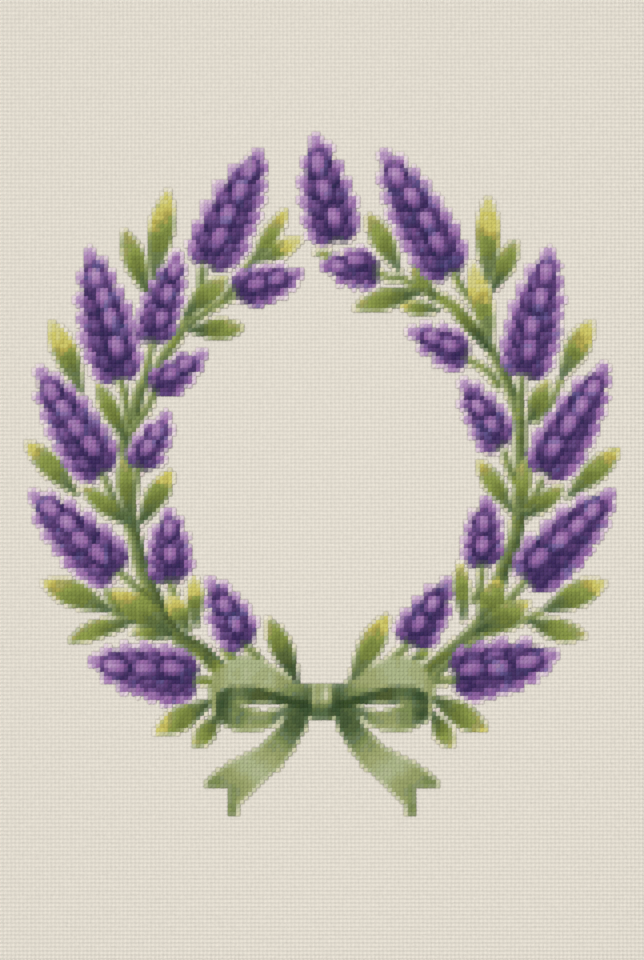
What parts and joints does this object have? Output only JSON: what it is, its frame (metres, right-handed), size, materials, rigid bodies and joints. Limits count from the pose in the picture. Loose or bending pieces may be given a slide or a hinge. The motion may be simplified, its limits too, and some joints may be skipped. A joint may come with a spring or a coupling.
{
  "type": "cross-stitch embroidery panel",
  "caption": "Hemmed panel of block-weave cloth with a cross-stitched wreath of lavender sprigs and leaves, tied with a ribbon bow at its foot.",
  "frame": {"origin": "centre of the panel on the plane that its hem rests on", "axes": "+X towards the right of the picture, +Y towards the top of the wreath, +Z out of the stitched face"},
  "size_m": [0.3102, 0.4536, 0.0021],
  "materials": {
    "bud_left_0": "satin cotton floss",
    "bud_left_1": "satin cotton floss",
    "bud_left_2": "satin cotton floss",
    "bud_left_3": "satin cotton floss",
    "bud_left_4": "satin cotton floss",
    "bud_right_1": "satin cotton floss",
    "bud_right_2": "satin cotton floss",
    "bud_right_3": "satin cotton floss",
    "bud_right_4": "satin cotton floss",
    "bud_top_left": "satin cotton floss",
    "bud_top_right": "satin cotton floss",
    "cloth": "matt woven cotton",
    "head_bottom_left": "satin cotton floss",
    "head_bottom_right": "satin cotton floss",
    "head_left_lower": "satin cotton floss",
    "head_left_middle": "satin cotton floss",
    "head_left_upper": "satin cotton floss",
    "head_right_lower": "satin cotton floss",
    "head_right_middle": "satin cotton floss",
    "head_right_upper": "satin cotton floss",
    "head_top": "satin cotton floss",
    "head_top_left": "satin cotton floss",
    "head_top_right": "satin cotton floss",
    "leaf_left_01": "satin cotton floss",
    "leaf_left_02": "satin cotton floss",
    "leaf_left_03": "satin cotton floss",
    "leaf_left_04": "satin cotton floss",
    "leaf_left_05": "satin cotton floss",
    "leaf_left_06": "satin cotton floss",
    "leaf_left_07": "satin cotton floss",
    "leaf_left_08": "satin cotton floss",
    "leaf_left_09": "satin cotton floss",
    "leaf_pair_left": "satin cotton floss",
    "leaf_pair_right": "satin cotton floss",
    "leaf_pair_top": "satin cotton floss",
    "leaf_right_01": "satin cotton floss",
    "leaf_right_02": "satin cotton floss",
    "leaf_right_03": "satin cotton floss",
    "leaf_right_04": "satin cotton floss",
    "leaf_right_05": "satin cotton floss",
    "leaf_right_06": "satin cotton floss",
    "leaf_right_07": "satin cotton floss",
    "leaf_right_08": "satin cotton floss",
    "leaf_right_09": "satin cotton floss",
    "leaf_right_10": "satin cotton floss",
    "leaf_right_11": "satin cotton floss",
    "leaf_right_12": "satin cotton floss",
    "reverse_threads": "satin cotton floss",
    "ribbon_inside_left": "satin cotton floss",
    "ribbon_inside_right": "satin cotton floss",
    "ribbon_knot": "satin cotton floss",
    "ribbon_loop_left": "satin cotton floss",
    "ribbon_loop_right": "satin cotton floss",
    "ribbon_tail_left": "satin cotton floss",
    "ribbon_tail_right": "satin cotton floss",
    "ribbon_under_left": "satin cotton floss",
    "ribbon_under_right": "satin cotton floss",
    "stems_left": "satin cotton floss",
    "stems_right": "satin cotton floss"
  },
  "bodies": {
    "root": {"bud_left_0": "bud_left_0", "bud_left_1": "bud_left_1", "bud_left_2": "bud_left_2", "bud_left_3": "bud_left_3", "bud_left_4": "bud_left_4", "bud_right_1": "bud_right_1", "bud_right_2": "bud_right_2", "bud_right_3": "bud_right_3", "bud_right_4": "bud_right_4", "bud_top_left": "bud_top_left", "bud_top_right": "bud_top_right", "cloth": "cloth", "head_bottom_left": "head_bottom_left", "head_bottom_right": "head_bottom_right", "head_left_lower": "head_left_lower", "head_left_middle": "head_left_middle", "head_left_upper": "head_left_upper", "head_right_lower": "head_right_lower", "head_right_middle": "head_right_middle", "head_right_upper": "head_right_upper", "head_top": "head_top", "head_top_left": "head_top_left", "head_top_right": "head_top_right", "leaf_left_01": "leaf_left_01", "leaf_left_02": "leaf_left_02", "leaf_left_03": "leaf_left_03", "leaf_left_04": "leaf_left_04", "leaf_left_05": "leaf_left_05", "leaf_left_06": "leaf_left_06", "leaf_left_07": "leaf_left_07", "leaf_left_08": "leaf_left_08", "leaf_left_09": "leaf_left_09", "leaf_pair_left": "leaf_pair_left", "leaf_pair_right": "leaf_pair_right", "leaf_pair_top": "leaf_pair_top", "leaf_right_01": "leaf_right_01", "leaf_right_02": "leaf_right_02", "leaf_right_03": "leaf_right_03", "leaf_right_04": "leaf_right_04", "leaf_right_05": "leaf_right_05", "leaf_right_06": "leaf_right_06", "leaf_right_07": "leaf_right_07", "leaf_right_08": "leaf_right_08", "leaf_right_09": "leaf_right_09", "leaf_right_10": "leaf_right_10", "leaf_right_11": "leaf_right_11", "leaf_right_12": "leaf_right_12", "reverse_threads": "reverse_threads", "ribbon_inside_left": "ribbon_inside_left", "ribbon_inside_right": "ribbon_inside_right", "ribbon_knot": "ribbon_knot", "ribbon_loop_left": "ribbon_loop_left", "ribbon_loop_right": "ribbon_loop_right", "ribbon_tail_left": "ribbon_tail_left", "ribbon_tail_right": "ribbon_tail_right", "ribbon_under_left": "ribbon_under_left", "ribbon_under_right": "ribbon_under_right", "stems_left": "stems_left", "stems_right": "stems_right"}
  },
  "joints": []
}
